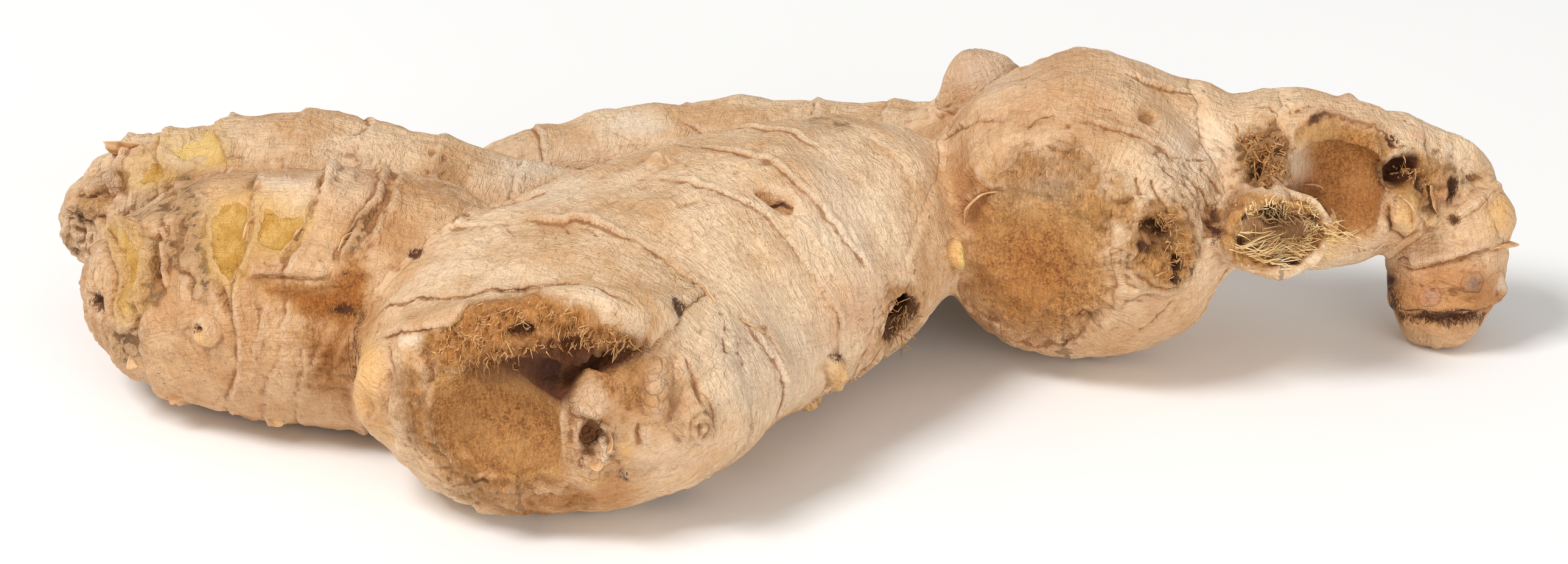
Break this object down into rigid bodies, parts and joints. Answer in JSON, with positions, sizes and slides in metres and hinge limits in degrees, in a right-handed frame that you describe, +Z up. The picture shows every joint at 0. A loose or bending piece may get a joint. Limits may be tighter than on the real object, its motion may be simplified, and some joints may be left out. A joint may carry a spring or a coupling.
{
  "type": "ginger root",
  "caption": "Whole hand of fresh ginger root: stubby ringed fingers grown together, with broken-off stem scars, one hollow stem stub and sleeping buds, lying flat.",
  "frame": {"origin": "under the middle of the hand's bounding box, on the surface that it rests on", "axes": "+X along the hand's length towards its thin hanging finger, +Y towards the slim finger at the back, +Z up from the surface"},
  "size_m": [0.1652, 0.0834, 0.0341],
  "materials": {
    "skin": "papery, matt tan skin, lighter on the crests and brown in the scars and creases",
    "fibre": "dry straw-coloured fibres and loose flakes of skin"
  },
  "bodies": {
    "root": {"rhizome": "skin"}
  },
  "joints": []
}
